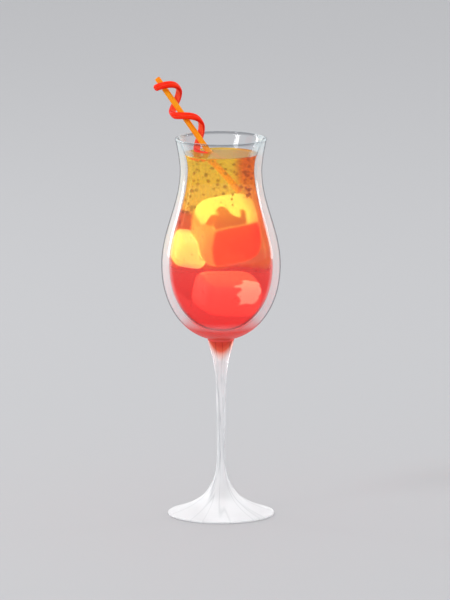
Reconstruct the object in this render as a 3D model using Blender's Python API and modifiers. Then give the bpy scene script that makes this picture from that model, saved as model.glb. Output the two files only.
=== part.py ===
"""A sparkling aperitif in a stemmed tulip glass, with a leaning straw and a spiral of peel round it.

The origin is the middle of the foot's underside. +Z is up, -Y is the front, and sizes are in metres.
"""

import math

import bmesh
import bpy
from mathutils import Matrix, Vector

# Bowl
GLASS_HEIGHT = 0.230
RIM_RADIUS = 0.0277
WAIST_HEIGHT = 0.2105
WAIST_RADIUS = 0.0247
BELLY_HEIGHT = 0.153
BELLY_RADIUS = 0.0359
BOWL_FOOT_HEIGHT = 0.1070
BOWL_FULLNESS = 2.1
WALL = 0.0048
LIP = 0.0022
LIP_RUN = 0.016
FLOOR_THICKNESS = 0.0058
MOUTH_FLARE = 1.5

# Stem and foot, each station a radius and the height where the turned outline has it
STEM_STATIONS = (
    (0.0080, 0.1068),
    (0.0065, 0.1010),
    (0.0048, 0.0945),
    (0.0034, 0.0840),
    (0.0030, 0.0700),
    (0.0025, 0.0390),
    (0.0033, 0.0272),
    (0.0060, 0.0185),
    (0.0115, 0.0110),
    (0.0205, 0.0055),
)
FOOT_RADIUS = 0.0320
FOOT_EDGE = 0.0016

# Drink
DRINK_LEVEL = 0.2200
LAYER_HEIGHT = 0.1560
GAP = 0.0003

# Straw, leaning out over the back left of the rim, with its slopes as travel for each metre of drop
STRAW_AT_RIM = Vector((-0.0148, 0.0144, 0.2300))
STRAW_RUN_RIGHT = 0.75
STRAW_RUN_FRONT = 0.50
STRAW_RADIUS = 0.0017
STRAW_WALL = 0.0003
STRAW_ABOVE_RIM = 0.0424
STRAW_BELOW_RIM = 0.0440

# Peel spiral round the straw: loose and tight in pitch at its free top, pressed flatter by the wall below
PEEL_WIDTH = 0.0042
PEEL_THICKNESS = 0.0030
PEEL_TOP = 0.0378
PEEL_FIRST_TURN = 0.0195
PEEL_OPENING = 1.3
PEEL_TURNS = 2.20
PEEL_FRONT_CROSSING = 0.22
PEEL_REACH_SIDE = 0.0058
PEEL_REACH_DEPTH = (0.0050, 0.0035)
PEEL_DRIFT = 0.0016
PEEL_CORNERS = 0.7
PEEL_ROUNDED_END = 0.03
PEEL_END_SIZE = 0.4
PEEL_HOLE_LEAD = 0.012

# Fineness of the turned and swept meshes
TURN_STEPS = 56
STRAW_STEPS = 20
WALL_POINTS = 12
INNER_BOTTOM_POINTS = 10
LIP_POINTS = 7
STEM_POINTS_A_SPAN = 2
EDGE_POINTS = 5
DRINK_WALL_POINTS = 10
PEEL_STATIONS_A_TURN = 26
PEEL_SECTION_SIDES = 10
MERGE_DISTANCE = 0.00001


def clear_scene():
    for obj in list(bpy.data.objects):
        bpy.data.objects.remove(obj)


def new_collection(name, hidden=False):
    collection = bpy.data.collections.new(name)
    bpy.context.scene.collection.children.link(collection)
    collection.hide_render = hidden
    return collection


def new_material(name, colour, roughness, metallic=0.0, transmission=0.0):
    material = bpy.data.materials.new(name)
    material.use_nodes = True
    shader = material.node_tree.nodes["Principled BSDF"]
    shader.inputs["Base Color"].default_value = (*colour, 1.0)
    shader.inputs["Roughness"].default_value = roughness
    shader.inputs["Metallic"].default_value = metallic
    shader.inputs["Transmission Weight"].default_value = transmission
    material.diffuse_color = (*colour, 1.0)
    return material


def eased(share):
    """A smooth rise from 0 to 1, level at both ends."""
    return 0.5 - 0.5 * math.cos(math.pi * share)


def shares(count):
    """Even steps from 0 to 1, both ends included."""
    return [step / (count - 1) for step in range(count)]


def outer_radius(height):
    """Radius of the bowl's outside from the belly up: a soft S to the waist, then a flare to the rim."""
    if height >= WAIST_HEIGHT:
        share = (height - WAIST_HEIGHT) / (GLASS_HEIGHT - WAIST_HEIGHT)
        return WAIST_RADIUS + (RIM_RADIUS - WAIST_RADIUS) * share**MOUTH_FLARE
    share = (WAIST_HEIGHT - height) / (WAIST_HEIGHT - BELLY_HEIGHT)
    return WAIST_RADIUS + (BELLY_RADIUS - WAIST_RADIUS) * eased(share)


def wall_at(height):
    """Thickness of the wall, which thins towards the lip."""
    share = min(1.0, (GLASS_HEIGHT - height) / LIP_RUN)
    return LIP + (WALL - LIP) * eased(share)


def lower_bowl(radius, depth, count):
    """Points of the bowl's rounded bottom, from the belly down to the axis, on a superellipse."""
    power = 2.0 / BOWL_FULLNESS
    points = []
    for share in shares(count):
        angle = share * math.pi / 2
        r = radius * math.cos(angle) ** power if share < 1.0 else 0.0
        points.append((r, BELLY_HEIGHT - depth * math.sin(angle) ** power))
    return points


def inner_wall(inset, top, bottom, count):
    """Points of the bowl's inside, from a height down to another, moved in by inset."""
    points = []
    for share in shares(count):
        height = top + (bottom - top) * share
        points.append((outer_radius(height) - wall_at(height) - inset, height))
    return points


def inner_bottom(inset, count):
    """Points of the bowl's rounded inside bottom, moved in and up by inset."""
    floor = BOWL_FOOT_HEIGHT + FLOOR_THICKNESS + inset
    return lower_bowl(BELLY_RADIUS - WALL - inset, BELLY_HEIGHT - floor, count)


def smooth_through(stations, count):
    """A Catmull-Rom curve through the stations, with count points to each span."""
    ends = [stations[0], *stations, stations[-1]]
    points = []
    for before, start, end, after in zip(ends, ends[1:], ends[2:], ends[3:]):
        for step in range(count):
            t = step / count
            point = []
            for a, b, c, d in zip(before, start, end, after):
                cubic = -a + 3 * b - 3 * c + d
                square = 2 * a - 5 * b + 4 * c - d
                point.append(b + 0.5 * t * (c - a + t * (square + t * cubic)))
            points.append(tuple(point))
    points.append(tuple(stations[-1]))
    return points


def arc(centre, radius, start, end, count):
    """Points on an arc of the profile, with angles in degrees from +X towards +Z."""
    points = []
    for share in shares(count):
        angle = math.radians(start + (end - start) * share)
        points.append((centre[0] + radius * math.cos(angle), centre[1] + radius * math.sin(angle)))
    return points


def turned(name, profile, material, collection, steps=TURN_STEPS):
    """A solid of revolution: the profile, given from top to bottom of its outer side, turned about Z."""
    mesh = bpy.data.meshes.new(name)
    vertices = [(radius, 0.0, height) for radius, height in profile]
    edges = [(i, i + 1) for i in range(len(vertices) - 1)]
    mesh.from_pydata(vertices, edges, [])
    mesh.materials.append(material)
    obj = bpy.data.objects.new(name, mesh)
    collection.objects.link(obj)
    screw = obj.modifiers.new("Turn", "SCREW")
    screw.axis = "Z"
    screw.angle = math.tau
    screw.steps = steps
    screw.render_steps = steps
    screw.use_merge_vertices = True
    screw.merge_threshold = MERGE_DISTANCE
    screw.use_smooth_shade = True
    return obj


def cut(obj, cutter):
    """Takes the cutter out of the object with a live Boolean."""
    boolean = obj.modifiers.new("Cut for " + cutter.name, "BOOLEAN")
    boolean.operation = "DIFFERENCE"
    boolean.solver = "EXACT"
    boolean.object = cutter


def as_helper(obj):
    obj.hide_render = True
    obj.display_type = "WIRE"


def glass_profile():
    """The outline from the inside floor up, over the lip, down the bowl and stem and under the foot."""
    lip_radius = LIP / 2
    lip_height = GLASS_HEIGHT - lip_radius
    inside = inner_bottom(0.0, INNER_BOTTOM_POINTS)[::-1]
    inside += inner_wall(0.0, lip_height, BELLY_HEIGHT, WALL_POINTS)[::-1][1:]
    lip = arc((RIM_RADIUS - lip_radius, lip_height), lip_radius, 180, 0, LIP_POINTS)[1:-1]
    outside = [(RIM_RADIUS, lip_height)]
    for share in shares(WALL_POINTS)[1:]:
        height = lip_height + (BELLY_HEIGHT - lip_height) * share
        outside.append((outer_radius(height), height))
    below = lower_bowl(BELLY_RADIUS, BELLY_HEIGHT - BOWL_FOOT_HEIGHT, WALL_POINTS)
    outside += [(r, z) for r, z in below[1:] if r > STEM_STATIONS[0][0]]
    edge_radius = FOOT_EDGE / 2
    edge_centre = (FOOT_RADIUS - edge_radius, edge_radius)
    foot_top = (edge_centre[0], FOOT_EDGE)
    stem = smooth_through((*STEM_STATIONS, foot_top), STEM_POINTS_A_SPAN)[:-1]
    edge = arc(edge_centre, edge_radius, 90, -90, EDGE_POINTS)
    return inside + lip + outside + stem + edge + [(0.0, 0.0)]


def make_glass(collection):
    material = new_material("clear_glass", (0.93, 0.95, 0.97), 0.05, transmission=0.9)
    return turned("glass", glass_profile(), material, collection)


def make_drink(collection, cutters):
    """The drink in its two layers: the golden one, cut round the straw and the peel, over the red one."""
    layer_bottom = LAYER_HEIGHT + GAP / 2
    top_side = inner_wall(GAP, DRINK_LEVEL, layer_bottom, DRINK_WALL_POINTS)
    top_profile = [(0.0, DRINK_LEVEL), *top_side, (0.0, layer_bottom)]
    golden = new_material("golden_drink", (0.85, 0.42, 0.06), 0.1)
    top = turned("drink_top", top_profile, golden, collection)
    for cutter in cutters:
        cut(top, cutter)
    layer_top = LAYER_HEIGHT - GAP / 2
    base_side = inner_wall(GAP, layer_top, BELLY_HEIGHT, 2)
    base_profile = [(0.0, layer_top), *base_side, *inner_bottom(GAP, WALL_POINTS)[1:]]
    red = new_material("red_drink", (0.78, 0.07, 0.04), 0.1)
    base = turned("drink_base", base_profile, red, collection)
    return top, base


def straw_frame():
    """The straw's own axes: Z up along it, X towards the front and Y up to the right, from its rim point."""
    along = Vector((-STRAW_RUN_RIGHT, STRAW_RUN_FRONT, 1.0)).normalized()
    front = Vector((0.0, -1.0, 0.0))
    across = (front - front.dot(along) * along).normalized()
    side = along.cross(across)
    turn = Matrix((across, side, along)).transposed().to_4x4()
    return Matrix.Translation(STRAW_AT_RIM) @ turn


def make_straw(collection):
    """An open tube: its wall's section turned about its own axis."""
    bore = STRAW_RADIUS - STRAW_WALL
    top, bottom = STRAW_ABOVE_RIM, -STRAW_BELOW_RIM
    section = [(bore, top), (STRAW_RADIUS, top), (STRAW_RADIUS, bottom), (bore, bottom), (bore, top)]
    material = new_material("orange_straw", (1.0, 0.30, 0.01), 0.35)
    straw = turned("straw", section, material, collection, STRAW_STEPS)
    straw.matrix_world = straw_frame()
    return straw


def make_straw_cutter(material, collection):
    radius = STRAW_RADIUS + GAP
    bottom = -STRAW_BELOW_RIM - GAP
    profile = [(0.0, STRAW_ABOVE_RIM), (radius, STRAW_ABOVE_RIM), (radius, bottom), (0.0, bottom)]
    cutter = turned("straw_hole", profile, material, collection, STRAW_STEPS)
    cutter.matrix_world = straw_frame()
    as_helper(cutter)
    return cutter


def peel_section(grow, collection):
    """The strip's section: an oval with flattened sides, its width along Y."""
    curve = bpy.data.curves.new("peel_section", "CURVE")
    curve.dimensions = "2D"
    spline = curve.splines.new("POLY")
    spline.points.add(PEEL_SECTION_SIDES - 1)
    spline.use_cyclic_u = True
    for index, point in enumerate(spline.points):
        angle = math.tau * index / PEEL_SECTION_SIDES
        x = math.copysign(abs(math.cos(angle)) ** PEEL_CORNERS, math.cos(angle))
        y = math.copysign(abs(math.sin(angle)) ** PEEL_CORNERS, math.sin(angle))
        point.co = (x * (PEEL_THICKNESS / 2 + grow), y * (PEEL_WIDTH / 2 + grow), 0.0, 1.0)
    obj = bpy.data.objects.new("peel_section", curve)
    collection.objects.link(obj)
    as_helper(obj)
    return obj


def peel_point(share):
    """A point of the spiral in the straw's axes, at a share of its turns from the free top down."""
    turns = share * PEEL_TURNS
    along = PEEL_TOP - PEEL_FIRST_TURN * turns**PEEL_OPENING
    angle = math.tau * (turns - PEEL_FRONT_CROSSING)
    wide, tight = PEEL_REACH_DEPTH
    depth = (wide + (tight - wide) * share) * math.cos(angle)
    side = PEEL_REACH_SIDE * math.sin(angle) + PEEL_DRIFT * (1.0 - share)
    return depth, side, along


def sweep_peel(name, grow, lead, material, collection, helpers):
    """The strip swept along its spiral round the straw, and made a closed mesh.

    grow thickens it all round and lead carries it on past its lower end, which makes it a cutter.
    """
    section = peel_section(grow, helpers)
    curve = bpy.data.curves.new(name, "CURVE")
    curve.dimensions = "3D"
    curve.twist_mode = "Z_UP"
    curve.bevel_mode = "OBJECT"
    curve.bevel_object = section
    curve.use_fill_caps = True
    count = round(PEEL_TURNS * PEEL_STATIONS_A_TURN)
    spline = curve.splines.new("POLY")
    spline.points.add(count - 1)
    for share, point in zip(shares(count), spline.points):
        point.co = (*peel_point(share * (1.0 + lead)), 1.0)
        from_end = min(share, 1.0 - share) / PEEL_ROUNDED_END
        rounding = math.sqrt(1.0 - (1.0 - min(1.0, from_end)) ** 2)
        point.radius = PEEL_END_SIZE + (1.0 - PEEL_END_SIZE) * rounding
    path = bpy.data.objects.new(name + "_path", curve)
    collection.objects.link(path)
    path.matrix_world = straw_frame()
    bpy.context.view_layer.update()
    evaluated = path.evaluated_get(bpy.context.evaluated_depsgraph_get())
    mesh = bpy.data.meshes.new_from_object(evaluated)
    work = bmesh.new()
    work.from_mesh(mesh)
    bmesh.ops.remove_doubles(work, verts=work.verts, dist=MERGE_DISTANCE)
    bmesh.ops.recalc_face_normals(work, faces=work.faces)
    work.to_mesh(mesh)
    work.free()
    mesh.name = name
    mesh.materials.clear()
    mesh.materials.append(material)
    mesh.shade_smooth()
    obj = bpy.data.objects.new(name, mesh)
    collection.objects.link(obj)
    obj.matrix_world = path.matrix_world
    bpy.data.objects.remove(path)
    bpy.data.objects.remove(section)
    return obj


def main():
    clear_scene()
    parts = new_collection("aperitif_cocktail")
    helpers = new_collection("cutters", hidden=True)
    make_glass(parts)
    make_straw(parts)
    red_peel = new_material("red_peel", (0.90, 0.04, 0.01), 0.5)
    sweep_peel("peel_twist", 0.0, 0.0, red_peel, parts, helpers)
    hole = new_material("hole", (0.5, 0.5, 0.5), 0.5)
    peel_cutter = sweep_peel("peel_hole", GAP, PEEL_HOLE_LEAD, hole, helpers, helpers)
    as_helper(peel_cutter)
    make_drink(parts, [make_straw_cutter(hole, helpers), peel_cutter])


main()
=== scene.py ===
import math

import bpy
import numpy as np
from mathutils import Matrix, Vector


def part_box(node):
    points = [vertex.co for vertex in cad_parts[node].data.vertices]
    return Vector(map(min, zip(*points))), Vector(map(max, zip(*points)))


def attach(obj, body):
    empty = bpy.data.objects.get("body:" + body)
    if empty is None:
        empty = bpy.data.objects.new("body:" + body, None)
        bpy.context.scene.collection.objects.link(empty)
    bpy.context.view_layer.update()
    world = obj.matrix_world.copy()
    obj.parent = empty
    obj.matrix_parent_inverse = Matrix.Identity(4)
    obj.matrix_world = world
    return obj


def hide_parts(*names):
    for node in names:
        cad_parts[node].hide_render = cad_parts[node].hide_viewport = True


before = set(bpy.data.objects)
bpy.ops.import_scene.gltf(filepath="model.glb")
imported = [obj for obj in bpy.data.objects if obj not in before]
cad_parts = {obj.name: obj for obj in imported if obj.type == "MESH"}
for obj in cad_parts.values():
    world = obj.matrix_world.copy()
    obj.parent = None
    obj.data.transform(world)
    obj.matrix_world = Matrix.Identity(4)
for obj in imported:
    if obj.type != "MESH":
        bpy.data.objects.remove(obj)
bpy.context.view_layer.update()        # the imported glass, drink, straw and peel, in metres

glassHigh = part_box("glass")[1]
print("frame loaded:", sorted(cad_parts))


# Small tools

def linearColour(code):
    # a screen colour such as "F0BB44" as the linear numbers that shaders take
    parts = np.array([int(code[i:i + 2], 16) for i in (0, 2, 4)]) / 255
    linear = np.where(parts <= 0.04045, parts / 12.92, ((parts + 0.055) / 1.055) ** 2.4)
    return (*linear.tolist(), 1.0)


def grey(value):
    # the same amount of red, green and blue
    return (value, value, value, 1.0)


def eased(share):
    # a rise from 0 to 1 that is level at both ends: half of one minus a cosine
    return 0.5 - 0.5 * np.cos(np.pi * np.clip(share, 0, 1))


def unit(vectors):
    # each vector divided by its own length
    return vectors / np.linalg.norm(vectors, axis=-1, keepdims=True)


def waves(points, scale, seed):
    # smooth unevenness: the mean of six sine waves that cross space in drawn directions, from -1 to 1
    draw = np.random.default_rng(seed)
    total = np.zeros(points.shape[:-1])
    for direction in unit(draw.normal(size=(6, 3))):
        total += np.sin(points @ direction / scale * draw.uniform(0.7, 1.6) + draw.uniform(0, 6.28))
    return total / 6


def linked(name, data):
    # a new object for a mesh, light or camera, put in the scene
    obj = bpy.data.objects.new(name, data)
    bpy.context.scene.collection.objects.link(obj)
    return obj


def gridMesh(name, grid, wrapRows=False, poles=(False, False), uv=False, paint=None):
    # a grid of points, rows by columns, as a skin of quads; the columns always close round.
    # A pole closes an end row with one point. The faces are turned outwards by the sign of the volume.
    rows, columns = grid.shape[:2]
    points = grid.reshape(-1, 3)
    row = np.arange(rows if wrapRows else rows - 1)[:, None]
    column = np.arange(columns)[None, :]
    nextRow, nextColumn = (row + 1) % rows, (column + 1) % columns
    quads = np.stack([
        row * columns + column, nextRow * columns + column,
        nextRow * columns + nextColumn, row * columns + nextColumn], axis=-1).reshape(-1, 4)
    faces = [quads]
    ring = np.arange(columns)
    for wanted, edgeRow, order in ((poles[0], 0, -1), (poles[1], rows - 1, 1)):
        if wanted:
            edge = edgeRow * columns + ring
            centre = np.full(columns, len(points))
            points = np.vstack([points, points[edge].mean(axis=0)])
            fan = np.stack([edge, centre, np.roll(edge, -1)], axis=-1)
            faces.append(fan[:, ::order])
    corners = points[quads]
    volume = np.einsum("ij,ij->", np.cross(corners[:, 0], corners[:, 1]), corners[:, 2])
    volume += np.einsum("ij,ij->", np.cross(corners[:, 0], corners[:, 2]), corners[:, 3])
    allFaces = [face for block in faces for face in (block if volume > 0 else block[:, ::-1]).tolist()]
    mesh = bpy.data.meshes.new(name)
    mesh.from_pydata(points.tolist(), [], allFaces)
    mesh.validate()
    mesh.shade_smooth()
    if uv:
        addUv(mesh, rows, columns)
    if paint is not None:
        addPaint(mesh, paint, poles)
    return linked(name, mesh)


def addUv(mesh, rows, columns):
    # U runs along the rows and V round the columns, both from 0 to 1
    layer = mesh.uv_layers.new(name="along")
    index = np.zeros(len(mesh.loops), int)
    mesh.loops.foreach_get("vertex_index", index)
    u = np.clip(index // columns, 0, rows - 1) / (rows - 1)
    v = (index % columns) / columns
    layer.data.foreach_set("uv", np.stack([u, v], axis=1).astype(np.float32).ravel())


def addPaint(mesh, paint, poles):
    # three shares for each point of the grid as the attribute "lit"; a pole has the mean of its row
    ends = [paint[row].mean(axis=0)[None] for wanted, row in zip(poles, (0, -1)) if wanted]
    shares = np.vstack([paint.reshape(-1, 3), *ends])
    colours = np.hstack([shares, np.ones((len(shares), 1))]).astype(np.float32)
    layer = mesh.attributes.new("lit", "FLOAT_COLOR", "POINT")
    layer.data.foreach_set("color", colours.ravel())


def turned(profile, columns):
    # every profile point (radius, height) goes round Z: x is r cos a and y is r sin a
    angle = np.arange(columns) * 2 * np.pi / columns
    r, z = profile[:, :1], profile[:, 1:]
    return np.stack([r * np.cos(angle), r * np.sin(angle), z + 0 * angle], axis=-1)


def ballGrid(rings, columns):
    # points of a ball of radius one, without its poles: sines and cosines of two angles
    polar = np.linspace(0, np.pi, rings + 2)[1:-1, None]
    turn = np.linspace(0, 2 * np.pi, columns, endpoint=False)[None, :]
    sides = np.sin(polar)
    return np.stack([sides * np.cos(turn), sides * np.sin(turn), np.cos(polar) + 0 * turn], axis=-1)


def joined(name, pieces):
    # several meshes of (points, faces) as one
    points, faces, start = [], [], 0
    for morePoints, moreFaces in pieces:
        points.append(morePoints)
        faces.append(moreFaces + start)
        start += len(morePoints)
    mesh = bpy.data.meshes.new(name)
    mesh.from_pydata(np.vstack(points).tolist(), [], np.vstack(faces).tolist())
    mesh.shade_smooth()
    return linked(name, mesh)


# Shader tools

def newMaterial(name):
    material = bpy.data.materials.new(name)
    material.use_nodes = True
    material.node_tree.nodes.clear()
    return material, material.node_tree


def finished(material, shader):
    # the shader goes to the material's output
    add(material.node_tree, "OutputMaterial", Surface=shader.outputs[0])
    return material


def give(tree, socket, value):
    # an input takes a link from another socket, or else a number or colour of its own
    if isinstance(value, bpy.types.NodeSocket):
        tree.links.new(value, socket)
    else:
        socket.default_value = value


def add(tree, kind, settings=None, **inputs):
    # a node with its settings, and its inputs by name or, as i0 and i1, by number
    node = tree.nodes.new("ShaderNode" + kind)
    for key, value in (settings or {}).items():
        setattr(node, key, value)
    for key, value in inputs.items():
        numbered = key[0] == "i" and key[1:].isdigit()
        give(tree, node.inputs[int(key[1:]) if numbered else key.replace("_", " ")], value)
    return node


def maths(tree, operation, a, b=0.0, clamp=False):
    return add(tree, "Math", {"operation": operation, "use_clamp": clamp}, i0=a, i1=b).outputs[0]


def times(tree, a, b):
    return maths(tree, "MULTIPLY", a, b)


def plus(tree, a, b):
    return maths(tree, "ADD", a, b)


def ramp(tree, value, stops):
    # a colour for each place of value, from stops of a place and a colour, a screen colour or a grey
    node = add(tree, "ValToRGB", i0=value)
    elements = node.color_ramp.elements
    while len(elements) < len(stops):
        elements.new(1.0)
    for element, (place, colour) in zip(elements, stops):
        element.position = place
        if isinstance(colour, str):
            colour = linearColour(colour)
        element.color = colour if isinstance(colour, tuple) else grey(colour)
    return node.outputs["Color"]


def mixed(tree, share, a, b, blend="MIX"):
    # from colour a at a share of 0 to colour b at a share of 1
    node = tree.nodes.new("ShaderNodeMix")
    node.data_type = "RGBA"
    node.blend_type = blend
    for socket, value in ((node.inputs["Factor"], share), (node.inputs[6], a), (node.inputs[7], b)):
        give(tree, socket, value)
    return node.outputs[2]


def shaderMix(tree, share, a, b):
    # from shader a at a share of 0 to shader b at a share of 1
    return add(tree, "MixShader", i0=share, i1=a.outputs[0], i2=b.outputs[0])


def remap(tree, value, low, high, newLow=0.0, newHigh=1.0):
    # from low and high to newLow and newHigh, and held between them
    node = add(tree, "MapRange", Value=value, From_Min=low, From_Max=high, To_Min=newLow, To_Max=newHigh)
    return node.outputs[0]


def placeOf(tree):
    # the point's x, y and z
    return add(tree, "SeparateXYZ", i0=add(tree, "TexCoord").outputs["Object"]).outputs


def turnedAway(tree):
    # 0 where the surface faces the eye and 1 at its outline
    return add(tree, "LayerWeight", Blend=0.5).outputs["Facing"]


def passingLight(tree, shader, tint):
    # the shader for the eye, while light on its way to other pieces passes with only a tint
    through = add(tree, "BsdfTransparent", Color=tint)
    return shaderMix(tree, add(tree, "LightPath").outputs["Is Shadow Ray"], shader, through)


def buildMottleGroup():
    # soft blotches and fine grain over a surface, for colour, roughness and bump
    group = bpy.data.node_groups.new("mottle", "ShaderNodeTree")
    for name in ("Blotch Scale", "Grain Scale"):
        group.interface.new_socket(name=name, in_out="INPUT", socket_type="NodeSocketFloat")
    for name in ("Blotch", "Grain"):
        group.interface.new_socket(name=name, in_out="OUTPUT", socket_type="NodeSocketFloat")
    inside = group.nodes.new("NodeGroupInput")
    outside = group.nodes.new("NodeGroupOutput")
    place = add(group, "TexCoord").outputs["Object"]
    for name, detail in (("Blotch", 3.0), ("Grain", 6.0)):
        noise = add(group, "TexNoise", Vector=place, Scale=inside.outputs[name + " Scale"], Detail=detail)
        group.links.new(noise.outputs[0], outside.inputs[name])
    return group


mottleGroup = buildMottleGroup()


def mottle(tree, blotchScale, grainScale=400.0):
    # the mottle group with its own two scales
    node = tree.nodes.new("ShaderNodeGroup")
    node.node_tree = mottleGroup
    node.inputs["Blotch Scale"].default_value = blotchScale
    node.inputs["Grain Scale"].default_value = grainScale
    return node.outputs["Blotch"], node.outputs["Grain"]


def grainyRoughness(tree, grain, smooth, rough):
    # rougher where the grain is lighter
    return remap(tree, grain, 0.3, 0.7, smooth, rough)


def bumped(tree, height, strength, depth):
    # a normal that leans as if lighter places stood higher
    return add(tree, "Bump", Strength=strength, Distance=depth, Height=height).outputs[0]


def softBody(tree, look, colour, grain, height):
    # a shader for a piece that light soaks a little way into
    return add(
        tree, "BsdfPrincipled", Base_Color=colour, Normal=bumped(tree, height, *look["bump"]),
        Roughness=grainyRoughness(tree, grain, *look["roughness"]), Specular_IOR_Level=look["gloss"],
        Subsurface_Weight=look["soak"], Subsurface_Radius=look["soakReach"], Subsurface_Scale=0.4)


# Bowl, stem and foot

glass = {
    "height": glassHigh.z, "rimRadius": 0.0277,
    "waistHeight": 0.2105, "waistRadius": 0.0247, "mouthFlare": 1.5,
    "bellyHeight": 0.153, "bellyRadius": glassHigh.x,
    "bowlFoot": 0.1070, "fullness": 2.1,
    "wall": 0.0048, "lip": 0.0022, "lipRun": 0.016, "floor": 0.0058,
    "footRadius": 0.0320, "footEdge": 0.0016,
    "stem": ((0.0080, 0.1068), (0.0065, 0.1010), (0.0048, 0.0945), (0.0034, 0.0840), (0.0030, 0.0700),
             (0.0025, 0.0390), (0.0033, 0.0272), (0.0060, 0.0185), (0.0115, 0.0110), (0.0205, 0.0055)),
    "columns": 144, "wallRows": 60, "floorRows": 40, "lipRows": 17, "stemRows": 8, "edgeRows": 9,
    "stemGlassBelow": 0.1067, "wetFloorRadius": 0.02,
    "bowlFinish": {
        # painted shade: what shows through grows darker towards the outline, a dark edge line in place of
        # refraction
        "tint": ((0.0, (0.985, 0.987, 0.99, 1)), (0.74, (0.93, 0.94, 0.95, 1)),
                 (0.86, (0.42, 0.42, 0.44, 1)), (1.0, (0.16, 0.16, 0.18, 1))),
        "haze": ((0.42, 0.0), (0.54, 0.42), (0.76, 0.54), (0.85, 0.16), (0.92, 0.0)),
        "hazeColour": (0.82, 0.93, 0.95, 1),
        # painted shade: the lip is tinted darker
        "lipHeights": (0.2280, 0.2290), "lipShade": 0.6, "lipShadeColour": (0.50, 0.51, 0.53, 1),
        # painted light: the drink's red painted into the floor of the bowl, low and near the axis
        "paintedRedHeights": (0.123, 0.116), "paintedRedReach": (0.027, 0.021), "paintedRedCloudiness": 0.6,
        "paintedRedTint": (0.97, 0.17, 0.14, 1), "paintedRedHaze": (0.9, 0.10, 0.08, 1),
        "mirror": 0.04, "edgeMirror": 0.35, "mirrorPower": 4.0, "roughness": 0.03,
        "shadowTint": (0.96, 0.965, 0.97, 1)},
    "stemFinish": {
        # painted shade: grey lines of shade down the stem and over the foot
        "streakScale": 2.6, "streakRise": 9.0, "streakBend": 0.3, "streakFade": (0.004, 0.030, 0.25, 0.9),
        "shadeStreaks": ((0.46, 1.0), (0.50, (0.50, 0.51, 0.53, 1)), (0.54, 1.0)),
        # painted light: the drink's red painted into the top of the stem, reaching further down in its middle
        "paintedRedHeights": (0.0935, 0.1030), "paintedRedDip": 0.013,
        "red": ((0.0, (0.98, 0.985, 0.99, 1)), (0.35, (0.98, 0.66, 0.58, 1)),
                (0.65, (0.88, 0.16, 0.08, 1)), (1.0, (0.70, 0.065, 0.035, 1))),
        # painted shade: the stem's sides darken towards the outline
        "side": ((0.55, 0.0), (0.85, 1.0)), "sideShadeHeights": (0.012, 0.024),
        "sideShadeColour": (0.50, 0.51, 0.53, 1),
        "roughness": 0.02, "ior": 1.45, "whiteness": 0.48, "shadowTint": (0.72, 0.72, 0.74, 1)},
}
cavityDepth = glass["bellyHeight"] - glass["bowlFoot"] - glass["floor"]
cavityBelly = glass["bellyRadius"] - glass["wall"]


def outerRadius(height):
    # a flare to the rim above the waist, and a soft S from the waist down to the belly
    above = np.clip((height - glass["waistHeight"]) / (glass["height"] - glass["waistHeight"]), 0, 1)
    below = (glass["waistHeight"] - height) / (glass["waistHeight"] - glass["bellyHeight"])
    flare = (glass["rimRadius"] - glass["waistRadius"]) * above ** glass["mouthFlare"]
    return glass["waistRadius"] + flare + (glass["bellyRadius"] - glass["waistRadius"]) * eased(below)


def wallAt(height):
    # thin at the lip, easing to the full wall a little way down
    return glass["lip"] + (glass["wall"] - glass["lip"]) * eased((glass["height"] - height) / glass["lipRun"])


def lowerBowl(radius, depth, count):
    # a superellipse from the belly down to the axis
    angle = np.linspace(0, np.pi / 2, count)
    power = 2 / glass["fullness"]
    r = radius * np.maximum(np.cos(angle), 0) ** power
    return np.stack([r, glass["bellyHeight"] - depth * np.sin(angle) ** power], axis=1)


def innerWall(inset, top, bottom, count):
    # the outside less the wall and the inset
    height = np.linspace(top, bottom, count)
    return np.stack([outerRadius(height) - wallAt(height) - inset, height], axis=1)


def innerBottom(inset, count):
    # the lower bowl's curve, smaller by the wall, the floor and the inset
    return lowerBowl(cavityBelly - inset, cavityDepth - inset, count)


def cavityRadius(height):
    # how far the inside of the bowl reaches from the axis at a height: the wall's curve above the belly
    # and the superellipse below it
    share = np.clip((glass["bellyHeight"] - height) / cavityDepth, 0, 1)
    low = cavityBelly * (1 - share ** glass["fullness"]) ** (1 / glass["fullness"])
    return np.where(height > glass["bellyHeight"], outerRadius(height) - wallAt(height), low)


def arc(centre, radius, start, end, count):
    # a circle's cosine and sine between two angles in degrees
    angle = np.radians(np.linspace(start, end, count))
    return np.stack([centre[0] + radius * np.cos(angle), centre[1] + radius * np.sin(angle)], axis=1)


def smoothThrough(stations, count):
    # a Catmull-Rom curve: each span is a cubic whose slopes come from the stations on both sides
    stations = np.array(stations)
    ends = np.vstack([stations[:1], stations, stations[-1:]])
    t = np.linspace(0, 1, count, endpoint=False)[None, :, None]
    p0, p1, p2, p3 = (ends[i:len(ends) - 3 + i, None, :] for i in range(4))
    span = p1 + 0.5 * t * (p2 - p0 + t * (2 * p0 - 5 * p1 + 4 * p2 - p3 + t * (-p0 + 3 * p1 - 3 * p2 + p3)))
    return np.vstack([span.reshape(-1, 2), stations[-1:]])


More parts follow.
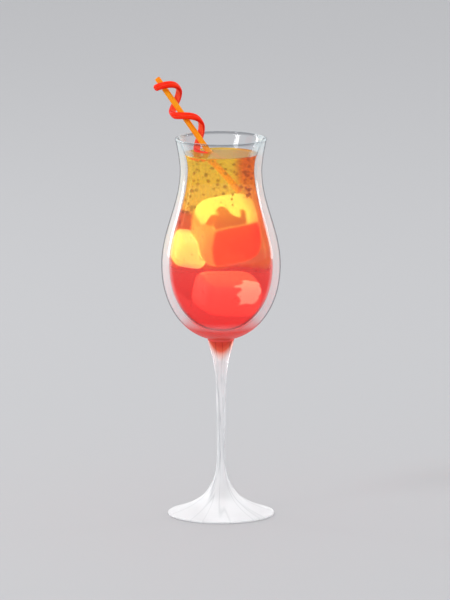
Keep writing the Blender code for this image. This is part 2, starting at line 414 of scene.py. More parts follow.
def glassProfile():
    # from the middle of the inside up to the lip, over it, and down the bowl and the stem to the foot's edge
    lipRadius = glass["lip"] / 2
    lipHeight = glass["height"] - lipRadius
    edge = glass["footEdge"] / 2
    rows = glass["wallRows"]
    outside = np.linspace(lipHeight, glass["bellyHeight"], rows)
    below = lowerBowl(glass["bellyRadius"], glass["bellyHeight"] - glass["bowlFoot"], rows)[1:]
    stem = smoothThrough((*glass["stem"], (glass["footRadius"] - edge, glass["footEdge"])), glass["stemRows"])
    return np.vstack([
        innerBottom(0, glass["floorRows"])[:-1][::-1],
        innerWall(0, lipHeight, glass["bellyHeight"], rows)[::-1][1:],
        arc((glass["rimRadius"] - lipRadius, lipHeight), lipRadius, 180, 0, glass["lipRows"])[1:-1],
        np.stack([outerRadius(outside), outside], axis=1),
        below[below[:, 0] > glass["stem"][0][0]],
        stem[:-1],
        arc((glass["footRadius"] - edge, edge), edge, 90, -90, glass["edgeRows"])])


def clearGlassMaterial():
    # polished clear glass: what is behind shows straight through, the thick wall's edge is whitish with a
    # painted dark line of shade outside it, the lip is a little darker by painted shade, and a painted red
    # stands in for the drink's light in the floor of the bowl
    look = glass["bowlFinish"]
    material, tree = newMaterial("bowlGlass")
    away = turnedAway(tree)
    x, y, z = placeOf(tree)
    aside = maths(tree, "SQRT", plus(tree, times(tree, x, x), times(tree, y, y)))
    # painted light: where the drink's red is painted into the floor of the bowl
    paintedGlow = times(tree, remap(tree, z, *look["paintedRedHeights"]), remap(tree, aside, *look["paintedRedReach"]))
    # painted shade on the lip
    lip = times(tree, remap(tree, z, *look["lipHeights"]), look["lipShade"])
    # painted shade: darker towards the outline, and on the lip
    lipped = mixed(tree, lip, ramp(tree, away, look["tint"]), look["lipShadeColour"])
    # the painted red tints what shows through and the haze
    clear = add(tree, "BsdfTransparent", Color=mixed(tree, paintedGlow, lipped, look["paintedRedTint"]))
    white = add(tree, "BsdfDiffuse", Color=mixed(tree, paintedGlow, look["hazeColour"], look["paintedRedHaze"]))
    clouded = maths(tree, "MAXIMUM", ramp(tree, away, look["haze"]), times(tree, paintedGlow, look["paintedRedCloudiness"]))
    wall = shaderMix(tree, clouded, clear, white)
    gloss = add(tree, "BsdfGlossy", Color=grey(1.0), Roughness=look["roughness"])
    edgeMirror = times(tree, maths(tree, "POWER", away, look["mirrorPower"]), look["edgeMirror"])
    front = maths(tree, "SUBTRACT", 1.0, add(tree, "NewGeometry").outputs["Backfacing"])
    skin = shaderMix(tree, times(tree, plus(tree, look["mirror"], edgeMirror), front), wall, gloss)
    return finished(material, passingLight(tree, skin, look["shadowTint"]))


def stemGlassMaterial():
    # clear glass with a whitish body: painted grey lines of shade run down the stem and out over the foot,
    # its sides are darker by painted shade, and under the bowl a painted red stands in for the drink's light
    # reaching down into its middle
    look = glass["stemFinish"]
    material, tree = newMaterial("stemGlass")
    spot = add(tree, "TexCoord").outputs["Object"]
    z = add(tree, "SeparateXYZ", i0=spot).outputs[2]
    away = turnedAway(tree)
    flat = add(tree, "VectorMath", {"operation": "MULTIPLY"}, i0=spot, i1=(1, 1, 0))
    around = add(tree, "VectorMath", {"operation": "NORMALIZE"}, i0=flat.outputs[0])
    upward = add(tree, "CombineXYZ", Z=times(tree, z, look["streakRise"]))
    grooves = add(tree, "VectorMath", {"operation": "ADD"}, i0=around.outputs[0], i1=upward.outputs[0])
    streak = add(tree, "TexNoise", Vector=grooves.outputs[0], Scale=look["streakScale"], Detail=1.0,
                 Distortion=look["streakBend"])
    # painted shade: grey lines along the stem
    line = ramp(tree, streak.outputs[0], look["shadeStreaks"])
    # painted light: the drink's red, reaching lower in the middle of the stem than at its outline
    depth = maths(tree, "SUBTRACT", z, times(tree, away, look["paintedRedDip"]))
    paintedRosy = ramp(tree, remap(tree, depth, *look["paintedRedHeights"]), look["red"])
    lined = mixed(tree, remap(tree, z, *look["streakFade"]), paintedRosy, line, "MULTIPLY")
    # painted shade on the stem's sides
    side = times(tree, ramp(tree, away, look["side"]), remap(tree, z, *look["sideShadeHeights"]))
    edgeShaded = mixed(tree, side, lined, look["sideShadeColour"])
    clear = add(tree, "BsdfPrincipled", Base_Color=edgeShaded, Roughness=look["roughness"], IOR=look["ior"],
                Transmission_Weight=1.0)
    white = add(tree, "BsdfDiffuse", Color=mixed(tree, 0.5, lined, edgeShaded))
    body = shaderMix(tree, look["whiteness"], clear, white)
    return finished(material, passingLight(tree, body, look["shadowTint"]))


def wetGlassMaterial():
    # the inside of the wall where the drink touches it, which no eye can tell from the drink
    material, tree = newMaterial("wetGlass")
    return finished(material, add(tree, "BsdfTransparent", Color=grey(1.0)))


def buildGlass():
    # the profile goes round Z, and each face takes the clear, the stem's or the wet glass by its place
    obj = gridMesh("tulipGlass", turned(glassProfile(), glass["columns"]), poles=(True, True))
    for material in (clearGlassMaterial(), stemGlassMaterial(), wetGlassMaterial()):
        obj.data.materials.append(material)
    count = len(obj.data.polygons) * 3
    centres, normals = np.zeros(count), np.zeros(count)
    obj.data.polygons.foreach_get("center", centres)
    obj.data.polygons.foreach_get("normal", normals)
    centres, normals = centres.reshape(-1, 3), normals.reshape(-1, 3)
    height = centres[:, 2]
    inward = np.einsum("ij,ij->i", centres[:, :2], normals[:, :2]) < 0
    bottom = (np.hypot(centres[:, 0], centres[:, 1]) < glass["wetFloorRadius"]) & (normals[:, 2] > 0)
    wet = (inward | bottom) & (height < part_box("drink_top")[1].z) & (height > glass["bowlFoot"])
    slots = np.where(wet, 2, np.where(height < glass["stemGlassBelow"], 1, 0))
    obj.data.polygons.foreach_set("material_index", slots)
    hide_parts("glass")
    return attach(obj, "root")


buildGlass()
print("glass made")


# Straw

straw = {
    "atRim": (-0.0148, 0.0144, 0.2300), "runRight": 0.75, "runFront": 0.50,
    "radius": 0.0017, "wall": 0.0003, "aboveRim": 0.0424, "belowRim": 0.0440,
    "columns": 40, "rows": 60, "endRows": 7,
    "colours": ((0.3, "FF8A00"), (0.7, "FFA008")), "mottle": (90.0, 900.0), "bump": (0.15, 0.0001),
    "roughness": (0.34, 0.46), "gloss": 0.15, "soak": 0.2, "soakReach": (0.004, 0.002, 0.001),
}


def strawAxes():
    # columns: towards the front, up to the right, and up along the straw
    along = unit(np.array([-straw["runRight"], straw["runFront"], 1.0]))
    front = np.array([0.0, -1.0, 0.0])
    across = unit(front - front @ along * along)
    return np.stack([across, np.cross(along, across), along])


def inStraw(local):
    # the straw's axes times a point's three distances along them, added to the point at the rim
    return np.array(straw["atRim"]) + local @ strawAxes()


def strawMaterial():
    # smooth and orange, a little mottled, with light soaking a little way in
    material, tree = newMaterial("orangeStraw")
    blotch, grain = mottle(tree, *straw["mottle"])
    return finished(material, softBody(tree, straw, ramp(tree, blotch, straw["colours"]), grain, grain))


def buildStraw():
    # the wall's section, a rounded bar, goes round the straw's own axis
    half = straw["wall"] / 2
    middle = straw["radius"] - half
    top, bottom = straw["aboveRim"] - half, -straw["belowRim"] + half
    height = np.linspace(top, bottom, straw["rows"])
    section = np.vstack([
        np.stack([np.full(straw["rows"], straw["radius"]), height], axis=1),
        arc((middle, bottom), half, 0, -180, straw["endRows"])[1:-1],
        np.stack([np.full(straw["rows"], middle - half), height[::-1]], axis=1),
        arc((middle, top), half, 180, 0, straw["endRows"])[1:-1]])
    obj = gridMesh("orangeStraw", inStraw(turned(section, straw["columns"])), wrapRows=True)
    obj.data.materials.append(strawMaterial())
    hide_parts("straw")
    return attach(obj, "root")


buildStraw()
print("straw made")


# Peel spiral

peel = {
    "width": 0.0042, "thickness": 0.0030, "top": 0.0378, "firstTurn": 0.0195, "opening": 1.3,
    "turns": 2.20, "frontCrossing": 0.22, "reachSide": 0.0058, "reachDepth": (0.0050, 0.0035),
    "drift": 0.0016, "pathPoints": 4000, "stations": 420, "tipStations": 14, "sides": 36,
    "corners": 0.72, "inside": 0.9, "dome": 0.12, "tip": 0.55, "tipWidth": 0.12, "tipThickness": 0.3,
    "uneven": 0.03, "unevenScale": 0.004, "seed": 5,
    "skin": ((0.3, "FA1E00"), (0.7, "FF3000")), "mottle": (160.0, 1400.0),
    # painted shade: the skin darkens towards its edges, as a round strip would
    "skinEdgeShade": "E01C08", "skinEdgeShadeFrom": ((0.30, 0.0), (0.50, 1.0)),
    "pith": ("F03A1C", "FF6A48"), "pithFrom": ((0.62, 0.0), (0.74, 1.0)),
    "pores": 1500.0, "poreReach": 0.45, "bump": (0.35, 0.00012),
    "roughness": (0.38, 0.55), "gloss": 0.14, "soak": 0.1, "soakReach": (0.003, 0.001, 0.0006),
}


def peelPath(share):
    # a spiral round the straw whose turns open downwards and are pressed flatter by the wall
    turns = share * peel["turns"]
    angle = 2 * np.pi * (turns - peel["frontCrossing"])
    wide, tight = peel["reachDepth"]
    depth = (wide + (tight - wide) * share) * np.cos(angle)
    side = peel["reachSide"] * np.sin(angle) + peel["drift"] * (1 - share)
    return np.stack([depth, side, peel["top"] - peel["firstTurn"] * turns ** peel["opening"]], axis=1)


def flattened(wave):
    # a power under one bulges a sine or cosine, so that an oval gets flatter sides
    return np.sign(wave) * np.abs(wave) ** peel["corners"]


def buildPeel():
    # the strip's section, domed outside and flat inside, is carried along the spiral with its width up
    # the straw; stations crowd towards the rounded tips, and both sizes shrink there like a circle
    dense = peelPath(np.linspace(0, 1, peel["pathPoints"]))
    length = np.concatenate([[0], np.cumsum(np.linalg.norm(np.diff(dense, axis=0), axis=1))])
    tip = peel["width"] * peel["tip"]
    end = tip * (1 - np.cos(np.linspace(0, np.pi / 2, peel["tipStations"])))
    middle = np.linspace(tip, length[-1] - tip, peel["stations"])[1:-1]
    places = np.concatenate([end, middle, length[-1] - end[::-1]])
    path = np.stack([np.interp(places, length, dense[:, k]) for k in range(3)], axis=1)
    tangent = unit(np.gradient(path, axis=0))
    up = np.array([0.0, 0.0, 1.0])
    across = unit(up - (tangent @ up)[:, None] * tangent)
    outward = np.cross(across, tangent)
    outward *= np.sign(np.einsum("ij,ij->i", outward[:, :2], path[:, :2]))[:, None]
    fromEnd = np.clip(np.minimum(places, length[-1] - places) / tip, 0.0, 1.0)
    full = np.sqrt(1 - (1 - fromEnd) ** 2)[:, None]
    angle = np.linspace(0, 2 * np.pi, peel["sides"], endpoint=False)
    x, y = flattened(np.cos(angle)), flattened(np.sin(angle))
    x = np.where(x < 0, x * peel["inside"], x * (1 - peel["dome"] * y ** 2))
    uneven = 1 + peel["uneven"] * waves(path, peel["unevenScale"], peel["seed"])[:, None]
    wide = y * peel["width"] / 2 * (peel["tipWidth"] + (1 - peel["tipWidth"]) * full) * uneven
    thick = x * peel["thickness"] / 2 * (peel["tipThickness"] + (1 - peel["tipThickness"]) * full)
    grid = path[:, None, :] + wide[..., None] * across[:, None, :] + thick[..., None] * outward[:, None, :]
    obj = gridMesh("peelSpiral", inStraw(grid), poles=(True, True), uv=True)
    obj.data.materials.append(peelMaterial())
    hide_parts("peel_twist")
    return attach(obj, "root")


def peelMaterial():
    # V is 0 and 1 in the middle of the skin and 0.5 in the middle of the pith
    material, tree = newMaterial("redPeel")
    around = add(tree, "SeparateXYZ", i0=add(tree, "UVMap", {"uv_map": "along"}).outputs[0]).outputs[1]
    fromPith = times(tree, maths(tree, "ABSOLUTE", maths(tree, "SUBTRACT", around, 0.5)), 2.0)
    fromSkin = maths(tree, "SUBTRACT", 1.0, fromPith)
    blotch, grain = mottle(tree, *peel["mottle"])
    skin = ramp(tree, blotch, peel["skin"])
    # painted shade towards the skin's edges
    edgeShaded = mixed(tree, ramp(tree, fromSkin, peel["skinEdgeShadeFrom"]), skin, linearColour(peel["skinEdgeShade"]))
    pith = mixed(tree, grain, *(linearColour(code) for code in peel["pith"]))
    colour = mixed(tree, ramp(tree, fromSkin, peel["pithFrom"]), edgeShaded, pith)
    place = add(tree, "TexCoord").outputs["Object"]
    pores = add(tree, "TexVoronoi", Vector=place, Scale=peel["pores"]).outputs["Distance"]
    dimples = remap(tree, pores, 0.0, peel["poreReach"])
    return finished(material, softBody(tree, peel, colour, grain, dimples))


buildPeel()
print("peel made")


# Drink

drink = {
    "level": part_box("drink_top")[1].z, "reach": 0.00012,
    "meniscus": 0.0007, "meniscusRun": 0.0011, "sunk": 0.1,
    "columns": 200, "rings": 64, "wallRows": 70, "bottomRows": 50,
    "ior": 1.15, "cloudiness": 0.38, "whitened": 0.6, "surfaceFrom": (0.85, 0.95),
    "heights": (0.110, 0.220), "swirlScale": 38.0, "swirl": 0.010,
    # what shows through is tinted on the way in and again on the way out
    "seen": (
        (0.00, (0.94, 0.20, 0.19, 1)), (0.30, (0.98, 0.36, 0.33, 1)), (0.405, (0.96, 0.42, 0.35, 1)),
        (0.435, (1.0, 0.68, 0.28, 1)), (0.55, (1.0, 0.75, 0.28, 1)), (0.65, (1.0, 0.82, 0.28, 1)),
        (0.73, (1.0, 0.88, 0.28, 1)), (1.0, (1.0, 0.89, 0.28, 1))),
    "seenRight": (0.96, 0.35, 0.12, 1), "seenBand": (0.88, 0.36, 0.18, 1),
    "cloud": (
        (0.00, (0.95, 0.015, 0.012, 1)), (0.30, (0.95, 0.022, 0.018, 1)), (0.405, (0.86, 0.035, 0.028, 1)),
        (0.435, (1.0, 0.19, 0.035, 1)), (0.55, (1.0, 0.26, 0.045, 1)), (0.65, (1.0, 0.38, 0.045, 1)),
        (0.73, (1.0, 0.57, 0.050, 1)), (1.0, (1.0, 0.65, 0.055, 1))),
    "cloudRight": (0.88, 0.14, 0.020, 1), "cloudBand": (0.70, 0.080, 0.025, 1),
    "rightFrom": (0.006, 0.012), "rightHeights": (0.154, 0.172), "rightSwirl": 1.5, "rightStrength": 0.85,
    "narrowing": (0.205, 0.185, 0.0, 0.010),
    "bandFrom": (-0.0150, -0.0180), "bandFoot": (0.1745, 0.1775), "bandTop": (0.1885, 0.1855),
    # painted shade: darker brown towards the drink's outline
    "rimShadeFrom": ((0.80, 0.0), (0.92, 1.0)), "rimShadeSeen": (0.52, 0.23, 0.10, 1),
    # painted shade: darker red at the outline of the lower bowl
    "bottomShadeFrom": (0.66, 0.80), "bottomShadeHeights": (0.134, 0.122),
    "bottomShadeSeen": (0.45, 0.04, 0.04, 1), "bottomShadeCloud": (0.36, 0.008, 0.008, 1),
    "sheenIor": 1.25, "sheen": (0.46, 0.38, 0.26, 1), "sheenRoughness": 0.02,
}


def strawAtLevel():
    # where the straw's axis meets the drink's surface
    x, y, z = straw["atRim"]
    drop = z - drink["level"]
    return np.array([x + straw["runRight"] * drop, y - straw["runFront"] * drop])


def drinkMaterial():
    # golden above and red below with a soft step between them, more orange towards the right of the top, and
    # with a reddish band on the left at the height of the upper ice; painted shade darkens the outline, and
    # the outline of the lower bowl to a darker red
    material, tree = newMaterial("twoToneDrink")
    x, y, z = placeOf(tree)
    blotch = mottle(tree, drink["swirlScale"])[0]
    swirl = times(tree, maths(tree, "SUBTRACT", blotch, 0.5), drink["swirl"])
    height = remap(tree, plus(tree, z, swirl), *drink["heights"])
    upward = add(tree, "SeparateXYZ", i0=add(tree, "NewGeometry").outputs["Normal"]).outputs[2]
    surface = remap(tree, upward, *drink["surfaceFrom"])
    edge = maths(tree, "SUBTRACT", x, remap(tree, z, *drink["narrowing"]))
    right = remap(tree, plus(tree, edge, times(tree, swirl, drink["rightSwirl"])), *drink["rightFrom"])
    strength = maths(tree, "SUBTRACT", drink["rightStrength"], surface, clamp=True)
    aside = times(tree, times(tree, right, remap(tree, z, *drink["rightHeights"])), strength)
    left = remap(tree, plus(tree, x, swirl), *drink["bandFrom"])
    band = times(tree, remap(tree, z, *drink["bandFoot"]), remap(tree, z, *drink["bandTop"]))
    flush = times(tree, left, band)

    def layered(name):
        orange = mixed(tree, aside, ramp(tree, height, drink[name]), drink[name + "Right"])
        return mixed(tree, flush, orange, drink[name + "Band"])

    seen, cloud = layered("seen"), layered("cloud")
    light = mixed(tree, drink["whitened"], seen, grey(1.0))
    rim = turnedAway(tree)
    # painted shade towards the outline
    seen = mixed(tree, ramp(tree, rim, drink["rimShadeFrom"]), seen, drink["rimShadeSeen"])
    low = remap(tree, z, *drink["bottomShadeHeights"])
    # painted shade: darker red towards the outline low in the bowl
    bottomShade = times(tree, remap(tree, rim, *drink["bottomShadeFrom"]), low)
    seen = mixed(tree, bottomShade, seen, drink["bottomShadeSeen"])
    cloud = mixed(tree, bottomShade, cloud, drink["bottomShadeCloud"])
    clear = add(tree, "BsdfGlass", Color=seen, Roughness=0.0, IOR=drink["ior"])
    cloudy = add(tree, "BsdfTranslucent", Color=cloud)
    milk = shaderMix(tree, 0.5, cloudy, add(tree, "BsdfDiffuse", Color=cloud))
    haze = shaderMix(tree, drink["cloudiness"], clear, milk)
    sheen = times(tree, add(tree, "Fresnel", IOR=drink["sheenIor"]).outputs[0], surface)
    gloss = add(tree, "BsdfGlossy", Color=drink["sheen"], Roughness=drink["sheenRoughness"])
    return finished(material, passingLight(tree, shaderMix(tree, sheen, haze, gloss), light))


def buildDrink():
    # from the middle of the surface out to the wall, up its meniscus, and down inside the wall to the bottom;
    # the liquid climbs the wall and the straw by a height that dies away like an exponential
    inset = -drink["reach"]
    edge = innerWall(inset, drink["level"], drink["level"], 1)[0, 0]
    r = edge * np.linspace(0, 1, drink["rings"] + 1)[1:]
    lift = drink["meniscus"] * np.exp(-(edge - r) / drink["meniscusRun"])
    surface = np.stack([r, drink["level"] + lift - drink["meniscus"] * drink["sunk"]], axis=1)
    side = innerWall(inset, surface[-1, 1], glass["bellyHeight"], drink["wallRows"])[1:]
    profile = np.vstack([surface, side, innerBottom(inset, drink["bottomRows"])[1:-1]])
    grid = turned(profile, drink["columns"])
    top = grid[:drink["rings"]]
    away = np.clip(np.linalg.norm(top[..., :2] - strawAtLevel(), axis=-1) - straw["radius"], 0, 1)
    top[..., 2] += drink["meniscus"] * np.exp(-away / drink["meniscusRun"])
    obj = gridMesh("aperitifDrink", grid, poles=(True, True))
    obj.data.materials.append(drinkMaterial())
    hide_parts("drink_top", "drink_base")
    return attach(obj, "root")


buildDrink()
print("drink made")


# Ice

ice = {
    "melt": 0.03, "meltScale": 0.45, "rings": 64, "columns": 112,
    "wallGap": 0.0008, "wallEase": 0.0005, "touch": 1.02, "touchEase": 0.01,
    "waver": 0.16, "waverScale": 0.22, "ragged": 0.55, "raggedScale": 0.11,
    "faceEdge": 0.10, "topEdge": 0.12, "topOver": 0.03, "topWaver": 0.7, "topDownFade": 0.6,
    "ior": 1.31, "roughness": (0.12, 0.25), "mottle": (120.0, 420.0), "bump": (0.3, 0.0006),
    # each cube's top, side and front colours are painted light and shade, its spot colour is a painted
    # highlight on the lower cube and painted shade on the others, and its emission strengths light the ice
    # though it is no lamp
    "cubes": {
        "iceUpper": {
            "centre": (0.0034, -0.0040, 0.1748), "half": (0.0172, 0.0158, 0.0187), "turn": (34, 5, 22),
            "power": 4.0, "seed": 3, "topDown": 0.50, "rightSide": 0.7, "frontLean": 0.3,
            "paintedGlow": 0.62, "paintedSpotGlow": 0.62, "top": "FFFFC8", "side": "FFAE80", "front": "FF1400",
            # painted shade: a darker spot on the front of the top
            "paintedSpot": "BF5C26", "paintedSpotAt": (-0.52, -1.04, 1.0), "paintedSpotReach": 0.92},
        "iceLeft": {
            "centre": (-0.0166, 0.0008, 0.1622), "half": (0.0095, 0.0084, 0.0096), "turn": (22, 16, 12),
            "power": 4.5, "seed": 7, "topDown": 0.0, "rightSide": 1.0, "frontLean": 0.0,
            "paintedGlow": 1.15, "paintedSpotGlow": 1.0, "top": "FFFFD0", "side": "FFFFC0", "front": "FFFFC0",
            # painted shade: a darker orange spot at the front right
            "paintedSpot": "FFB070", "paintedSpotAt": (0.6, -1.0, 0.2), "paintedSpotReach": 0.34, "against": "iceUpper"},
        "iceLower": {
            "centre": (0.0035, -0.0040, 0.1370), "half": (0.0168, 0.0130, 0.0106), "turn": (14, 10, 24),
            "power": 4.6, "seed": 11, "topDown": 0.0, "rightSide": 1.0, "frontLean": 0.0,
            "paintedGlow": 0.80, "paintedSpotGlow": 1.25, "top": "F0A488", "side": "FF887C", "front": "FF9484",
            # painted highlight: a pale spot at the front right
            "paintedSpot": "FFF8D4", "paintedSpotAt": (0.42, -1.0, 0.60), "paintedSpotReach": 0.62}},
}


def keptInside(grid):
    # melted to the bowl: the distance from the axis eases into the cavity's radius less a gap, like the
    # logarithm of a sum of two exponentials
    r = np.hypot(grid[..., 0], grid[..., 1])
    ease = ice["wallEase"]
    held = -ease * np.logaddexp(-r / ease, (ice["wallGap"] - cavityRadius(grid[..., 2])) / ease)
    flat = grid[..., :2] * (held / np.maximum(r, ease))[..., None]
    return np.concatenate([flat, grid[..., 2:]], axis=-1)


def turnMatrix(degrees):
    # turned about Z first, then leaned to the side about Y, then tipped to the front about X
    a, b, c = np.radians(degrees)
    x = np.array([[1, 0, 0], [0, math.cos(a), -math.sin(a)], [0, math.sin(a), math.cos(a)]])
    y = np.array([[math.cos(b), 0, math.sin(b)], [0, 1, 0], [-math.sin(b), 0, math.cos(b)]])
    z = np.array([[math.cos(c), -math.sin(c), 0], [math.sin(c), math.cos(c), 0], [0, 0, 1]])
    return x @ y @ z


def fromCube(local, cube):
    # points in a cube's own axes, in metres, carried to their place in the glass
    return local @ turnMatrix(cube["turn"]).T + np.array(cube["centre"])


def toCube(points, cube):
    # the way back: less the cube's centre, then turned the other way
    return (points - np.array(cube["centre"])) @ turnMatrix(cube["turn"])


def iceMaterial(name, cube):
    # cloudy wet ice with painted light and shade: each side takes its own painted colour, one spot is painted
    # as a highlight on the lower cube and as shade on the others, and emission lights the ice though it is no
    # lamp
    material, tree = newMaterial(name + "Finish")
    blotch, grain = mottle(tree, *ice["mottle"])
    lit = add(tree, "Attribute", {"attribute_name": "lit"}).outputs["Color"]
    top, side, paintedSpot = add(tree, "SeparateColor", i0=lit).outputs
    # painted light and shade: the front, the other sides and the top each take their own colour
    sides = mixed(tree, side, linearColour(cube["front"]), linearColour(cube["side"]))
    topped = mixed(tree, top, sides, linearColour(cube["top"]))
    # the spot: a painted highlight on the lower cube and painted shade on the others
    colour = mixed(tree, paintedSpot, topped, linearColour(cube["paintedSpot"]))
    # painted light: emission lights the ice though it is no lamp
    strongest = max(cube["paintedGlow"], cube["paintedSpotGlow"])
    level = remap(tree, paintedSpot, 0.0, 1.0, cube["paintedGlow"] / strongest, cube["paintedSpotGlow"] / strongest)
    return finished(material, add(
        tree, "BsdfPrincipled", Base_Color=colour, Normal=bumped(tree, blotch, *ice["bump"]), IOR=ice["ior"],
        Roughness=grainyRoughness(tree, grain, *ice["roughness"]), Emission_Strength=strongest,
        Emission_Color=mixed(tree, 1.0, colour, level, "MULTIPLY")))


def softStep(value, width):
    # from 0 to 1 in a straight line while the value passes zero
    return np.clip(value / width + 0.5, 0, 1)


def iceShares(box, cube):
    # how much of a point belongs to the top, to a side other than the front, and to a spot within reach of
    # one place, all with wavering edges: they place painted light and shade, each face in its own colour and
    # the spot as a painted highlight on the lower cube and painted shade on the others. A face is the side
    # whose coordinate is the largest. Where rightSide is under one the top and the front reach over on to the
    # right side, topDown lets the top run down at the left, and frontLean draws the front in at its lower
    # left.
    x, y, z = box[..., 0], box[..., 1], box[..., 2]
    edge = ice["faceEdge"]
    wide = np.where(x > 0, x * cube["rightSide"], -x - cube["frontLean"] * np.minimum(z, 0))
    waver = ice["waver"] * waves(box, ice["waverScale"], cube["seed"] + 1)
    reachDown = cube["topDown"] * softStep(-x - np.abs(y), edge) * np.clip(y / ice["topDownFade"] + 1, 0, 1)
    over = ice["topOver"] + waver * ice["topWaver"] + reachDown
    top = softStep(z - np.maximum(wide, np.abs(y)) + over, ice["topEdge"])
    front = softStep(-y - np.maximum(wide, np.abs(z)), edge)
    # the painted spot, within reach of one place
    away = np.linalg.norm(box - np.array(cube["paintedSpotAt"]), axis=-1)
    ragged = ice["ragged"] * waves(box, ice["raggedScale"], cube["seed"] + 2)
    paintedSpot = np.clip((cube["paintedSpotReach"] - away + waver + ragged) / edge, 0, 1)
    if cube["paintedSpotAt"][2] >= 1:
        paintedSpot = paintedSpot * top
    return np.stack([top, (1 - front) * (1 - top), paintedSpot], axis=-1)


def iceReach(directions, cube):
    # how far a rounded box reaches in each direction, where the powers of x, y and z add up to one, melted
    # a little by waves
    plain = (np.abs(directions) ** cube["power"]).sum(axis=-1) ** (-1 / cube["power"])
    return plain, plain * (1 + ice["melt"] * waves(directions, ice["meltScale"], cube["seed"]))


def meltedAgainst(grid, cube):
    # a cube frozen on to another follows its side: each point's distance from the other's middle, as a share
    # of its reach, eases out to just over one
    half = np.array(cube["half"])
    local = toCube(grid, cube) / half
    level = np.linalg.norm(local, axis=-1) / iceReach(unit(local), cube)[1]
    kept = ice["touch"] + ice["touchEase"] * np.logaddexp(0, (level - ice["touch"]) / ice["touchEase"])
    return fromCube(local * (kept / level)[..., None] * half, cube)


def buildIce():
    # a point on a ball of directions is pushed out to the rounded box
    ball = ballGrid(ice["rings"], ice["columns"])
    for name, cube in ice["cubes"].items():
        plain, melted = iceReach(ball, cube)
        grid = fromCube(ball * melted[..., None] * np.array(cube["half"]), cube)
        if "against" in cube:
            grid = meltedAgainst(grid, ice["cubes"][cube["against"]])
        grid = keptInside(grid)
        obj = gridMesh(name, grid, poles=(True, True), paint=iceShares(ball * plain[..., None], cube))
        obj.data.materials.append(iceMaterial(name, cube))
        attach(obj, "root")
        print(name, "top", round(float(grid[..., 2].max()), 4))


buildIce()
print("ice made")


# Bubbles

fizz = {
    # large bubbles keep near the wall of the upper layer, small ones fill the whole drink
    "sorts": (
        {"count": 80, "radius": (0.0006, 0.0011), "lowest": 0.176, "nearWall": 0.55, "apart": 0.0012},
        {"count": 240, "radius": (0.0002, 0.0004), "lowest": 0.124, "nearWall": 0.0, "apart": 0.0}),
    "levelGap": 0.0012, "wallGap": 0.0003, "crowding": 1.1, "rise": 1.4, "seed": 21,
    "rings": 7, "columns": 12,
    "strawGap": 0.0012, "strawEndGap": 0.001, "iceGap": 0.001, "iceShare": 1.08,
    # painted shade: darker brown towards each bubble's outline
    "rim": ((0.02, "E8B060"), (0.12, "A4641A"), (0.50, "5C2C06")), "gloss": 0.08, "roughness": 0.05,
}


def ballMesh(rings, columns):
    # triangles between neighbouring rings, and a fan at each pole
    points = np.vstack([ballGrid(rings, columns).reshape(-1, 3), [[0, 0, 1], [0, 0, -1]]])
    row, column = np.arange(rings - 1)[:, None], np.arange(columns)[None, :]
    a, b = row * columns + column, row * columns + (column + 1) % columns
    lower, lowerNext = a + columns, b + columns
    sides = [np.stack(corners, -1).reshape(-1, 3) for corners in ((a, lower, lowerNext), (a, lowerNext, b))]
    ring = np.arange(columns)
    after = (ring + 1) % columns
    last = (rings - 1) * columns
    top = np.stack([np.full(columns, rings * columns), ring, after], axis=-1)
    bottom = np.stack([np.full(columns, rings * columns + 1), last + after, last + ring], axis=-1)
    return points, np.concatenate([*sides, top, bottom])


def bubbleMaterial():
    # pale amber in the middle with a dark brown rim of painted shade
    material, tree = newMaterial("bubble")
    clear = add(tree, "BsdfTransparent", Color=ramp(tree, turnedAway(tree), fizz["rim"]))
    gloss = add(tree, "BsdfGlossy", Color=grey(1.0), Roughness=fizz["roughness"])
    return finished(material, shaderMix(tree, fizz["gloss"], clear, gloss))


def nearStraw(point):
    # less than a gap from the straw's side, and not below its lower end
    local = strawAxes() @ (point - np.array(straw["atRim"]))
    beside = math.hypot(local[0], local[1]) < straw["radius"] + fizz["strawGap"]
    return beside and local[2] > -straw["belowRim"] - fizz["strawEndGap"]


def insideIce(point):
    # within a cube's box, made a little larger
    for cube in ice["cubes"].values():
        half = np.array(cube["half"]) * fizz["iceShare"] + fizz["iceGap"]
        if np.all(np.abs(toCube(point, cube)) < half):
            return True
    return False


def buildFizz():
    # each bubble's height, size, distance from the axis and angle are drawn, and drawn again where it would
    # touch another bubble, the ice or the straw
    draw = np.random.default_rng(fizz["seed"])
    points, faces = ballMesh(fizz["rings"], fizz["columns"])
    highest = drink["level"] - fizz["levelGap"]
    balls, centres, sizes = [], np.zeros((0, 3)), np.zeros(0)
    for sort in fizz["sorts"]:
        least, most = sort["radius"]
        placed = 0
        while placed < sort["count"]:
            height = highest - (highest - sort["lowest"]) * draw.random() ** fizz["rise"]
            size = least + (most - least) * draw.random()
            reach = float(cavityRadius(height)) - size - fizz["wallGap"]
            radius = reach * math.sqrt(sort["nearWall"] + (1 - sort["nearWall"]) * draw.random())
            angle = draw.random() * 2 * math.pi
            centre = np.array([radius * math.cos(angle), radius * math.sin(angle), height])
            needed = (sizes + size) * fizz["crowding"] + sort["apart"]
            crowded = bool(np.any(np.linalg.norm(centres - centre, axis=1) < needed))
            if radius > 0 and not crowded and not insideIce(centre) and not nearStraw(centre):
                balls.append((points * size + centre, faces))
                centres, sizes = np.vstack([centres, centre]), np.append(sizes, size)
                placed += 1
    obj = joined("fizzBubbles", balls)
    obj.data.materials.append(bubbleMaterial())
    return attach(obj, "root")


buildFizz()
print("bubbles made")


# Floor, lights and camera

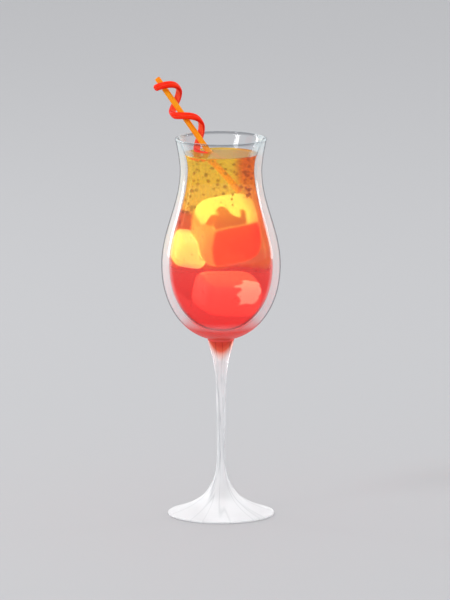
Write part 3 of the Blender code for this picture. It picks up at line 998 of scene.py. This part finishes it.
studio = {
    "floorColour": (0.47, 0.47, 0.48, 1), "floorRoughness": 0.7, "floorHalf": 15.0, "floorGap": 0.0001,
    "worldColour": (0.97, 0.98, 1.0, 1), "worldStrength": 0.95,
    # each light: its name and place, the height on the axis that it is aimed at, its sides and its power
    "lights": (
        ("keyLight", (-1.5, -1.2, 1.5), 0.17, (0.5, 0.8), 14),
        ("leftRimLight", (-1.6, 1.1, 0.7), 0.15, (0.35, 1.4), 12),
        ("rightRimLight", (1.7, 0.9, 0.7), 0.15, (0.3, 1.4), 9)),
    "imageSize": (450, 600), "millimetresAPixel": 0.602, "axisPixel": 221.0, "basePixel": 514.5,
    "elevation": 10.0, "distance": 5.0, "sensor": 36.0, "farthest": 60,
}


def buildFloor():
    # one large square just under the foot
    half, below = studio["floorHalf"], -studio["floorGap"]
    corners = [(x * half, y * half, below) for x, y in ((-1, -1), (1, -1), (1, 1), (-1, 1))]
    mesh = bpy.data.meshes.new("floor")
    mesh.from_pydata(corners, [], [(0, 1, 2, 3)])
    floor = linked("floor", mesh)
    material, tree = newMaterial("floor")
    body = add(tree, "BsdfPrincipled", Base_Color=studio["floorColour"], Roughness=studio["floorRoughness"])
    mesh.materials.append(finished(material, body))


def buildWorld():
    # even, pale light from all around
    world = bpy.data.worlds.new("studio")
    world.use_nodes = True
    background = world.node_tree.nodes["Background"]
    background.inputs["Color"].default_value = studio["worldColour"]
    background.inputs["Strength"].default_value = studio["worldStrength"]
    bpy.context.scene.world = world


def buildLights():
    # each light is a rectangle that faces its height on the axis
    for name, place, aimHeight, (width, height), power in studio["lights"]:
        light = bpy.data.lights.new(name, "AREA")
        light.shape = "RECTANGLE"
        light.size, light.size_y, light.energy = width, height, power
        obj = linked(name, light)
        obj.location = place
        obj.rotation_euler = (Vector((0, 0, aimHeight)) - Vector(place)).to_track_quat("-Z", "Y").to_euler()
        obj.visible_camera = False


def buildCamera():
    # the picture's middle is aimed at, worked out from where the glass's axis and base lie in it
    scale = studio["millimetresAPixel"] / 1000
    width, height = studio["imageSize"]
    elevation = math.radians(studio["elevation"])
    aim = Vector(((width / 2 - studio["axisPixel"]) * scale, 0,
                  (studio["basePixel"] - height / 2) * scale / math.cos(elevation)))
    back = Vector((0, -math.cos(elevation), math.sin(elevation)))
    data = bpy.data.cameras.new("camera")
    data.sensor_width = studio["sensor"]
    data.lens = studio["sensor"] * studio["distance"] / (height * scale)
    data.clip_end = studio["farthest"]
    camera = linked("camera", data)
    camera.location = aim + back * studio["distance"]
    camera.rotation_euler = (-back).to_track_quat("-Z", "Y").to_euler()
    bpy.context.scene.camera = camera


buildFloor()
buildWorld()
buildLights()
buildCamera()
bpy.context.scene.view_settings.view_transform = "Standard"
print("stage made")
